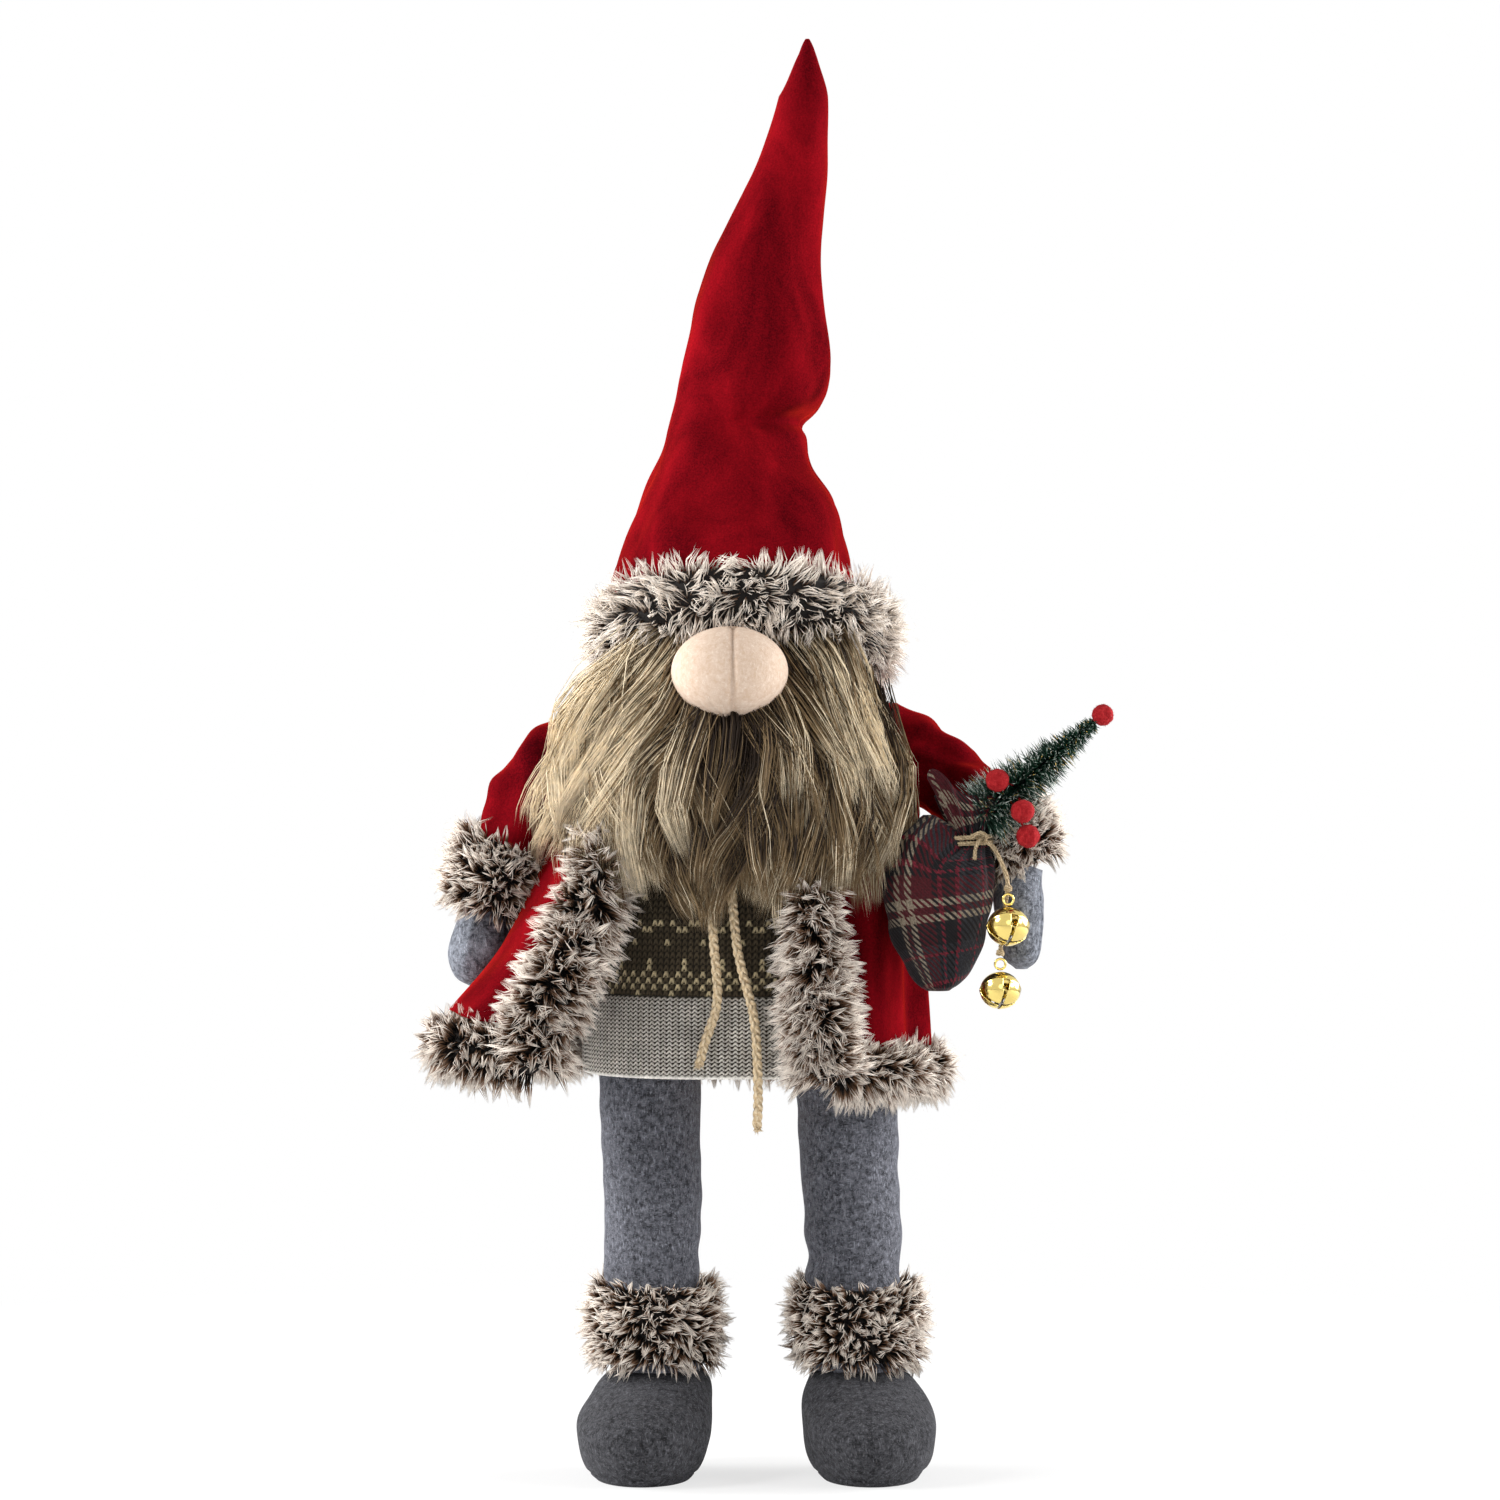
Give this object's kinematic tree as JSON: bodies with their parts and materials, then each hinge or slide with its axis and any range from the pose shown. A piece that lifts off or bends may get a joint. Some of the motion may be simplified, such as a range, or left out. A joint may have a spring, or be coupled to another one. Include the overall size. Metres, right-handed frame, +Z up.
{
  "type": "rocking gnome figure",
  "caption": "Standing stuffed gnome ornament with weighted boots, spring legs, tall hat, beard, fur-trimmed coat, sack, tree and swinging bells.",
  "frame": {"origin": "on the floor under the middle of the standing figure", "axes": "+Z up, the front of the figure faces -Y, its left hand is at +X"},
  "size_m": [0.4052, 0.2567, 0.859],
  "materials": {
    "boot_felt": "dark grey felt",
    "cast_weight": "rough cast iron",
    "leg_felt": "grey felt",
    "spring_steel": "spring steel",
    "fur": "frosted brown faux fur",
    "board_wood": "plain wooden board",
    "stuffing": "white polyester filling",
    "hem_knit": "ribbed knit",
    "sweater_knit": "patterned knit",
    "nose_felt": "brushed pale felt",
    "velvet": "red velvet",
    "beard_fur": "long faux fur",
    "cotton_cord": "braided cotton cord",
    "mitten_felt": "blue-grey felt",
    "plaid_cloth": "woven plaid",
    "jute": "jute twine",
    "pine_bristle": "frosted bristle",
    "berry_felt": "red felt",
    "bell_brass": "bright polished brass"
  },
  "bodies": {
    "boots": {"right_boot_shell": "boot_felt", "right_boot_sole": "boot_felt", "right_boot_weight": "cast_weight", "left_boot_shell": "boot_felt", "left_boot_sole": "boot_felt", "left_boot_weight": "cast_weight"},
    "ankles": {"right_leg_sleeve": "leg_felt", "right_leg_spring": "spring_steel", "right_boot_cuff": "fur", "left_leg_sleeve": "leg_felt", "left_leg_spring": "spring_steel", "left_boot_cuff": "fur"},
    "torso": {"base_board": "board_wood", "torso_core": "stuffing", "sweater_hem_band": "hem_knit", "sweater_body": "sweater_knit", "hat_brim_fur": "fur", "head_core": "stuffing", "nose": "nose_felt", "hat_shell": "velvet", "hat_stuffing": "stuffing", "coat_right_front": "velvet", "coat_back": "velvet", "coat_left_front": "velvet", "right_front_trim": "fur", "left_front_trim": "fur", "hem_trim_right": "fur", "hem_trim_back": "fur", "hem_trim_left": "fur", "beard": "beard_fur", "drawstring_right": "cotton_cord", "drawstring_left": "cotton_cord"},
    "right_arm": {"right_arm_core": "stuffing", "right_sleeve": "velvet", "right_mitten": "mitten_felt", "right_sleeve_cuff": "fur"},
    "left_arm": {"left_arm_core": "stuffing", "left_sleeve": "velvet", "left_mitten": "mitten_felt", "left_sleeve_cuff": "fur", "sack_bag": "plaid_cloth", "sack_filling": "stuffing", "tree_stem": "spring_steel", "sack_tie": "jute", "berry_1": "berry_felt", "berry_2": "berry_felt", "berry_3": "berry_felt", "tip_berry": "berry_felt", "tree_bristles": "pine_bristle"},
    "upper_bell": {"upper_bell_shell": "bell_brass", "upper_bell_pellet": "spring_steel", "upper_twine": "jute"},
    "lower_bell": {"lower_bell_shell": "bell_brass", "lower_bell_pellet": "spring_steel", "lower_twine": "jute"}
  },
  "joints": [
    {"name": "rock_fore_aft", "type": "hinge", "parent": "boots", "child": "ankles", "pos_m": [0, 0.006, 0.062], "axis": [1, 0, 0], "range_deg": [-8, 8], "stiffness_Nm_per_rad": 90},
    {"name": "sway_sideways", "type": "slide", "parent": "ankles", "child": "torso", "axis": [1, 0, 0], "range_m": [-0.012, 0.012], "stiffness_N_per_m": 900, "deforming": ["right_leg_sleeve", "left_leg_sleeve", "right_leg_spring", "left_leg_spring"]},
    {"name": "right_shoulder", "type": "hinge", "parent": "torso", "child": "right_arm", "pos_m": [-0.086, 0.002, 0.462], "axis": [0, 1, 0], "range_deg": [0, 35]},
    {"name": "left_shoulder", "type": "hinge", "parent": "torso", "child": "left_arm", "pos_m": [0.066, 0.002, 0.462], "axis": [0, -1, 0], "range_deg": [0, 20]},
    {"name": "upper_bell_swing", "type": "hinge", "parent": "left_arm", "child": "upper_bell", "pos_m": [0.1291, -0.0835, 0.38], "axis": [0, -1, 0], "range_deg": [-1, 25]},
    {"name": "lower_bell_swing", "type": "hinge", "parent": "upper_bell", "child": "lower_bell", "pos_m": [0.143, -0.0907, 0.3525], "axis": [0, -1, 0], "range_deg": [-1, 20]}
  ]
}
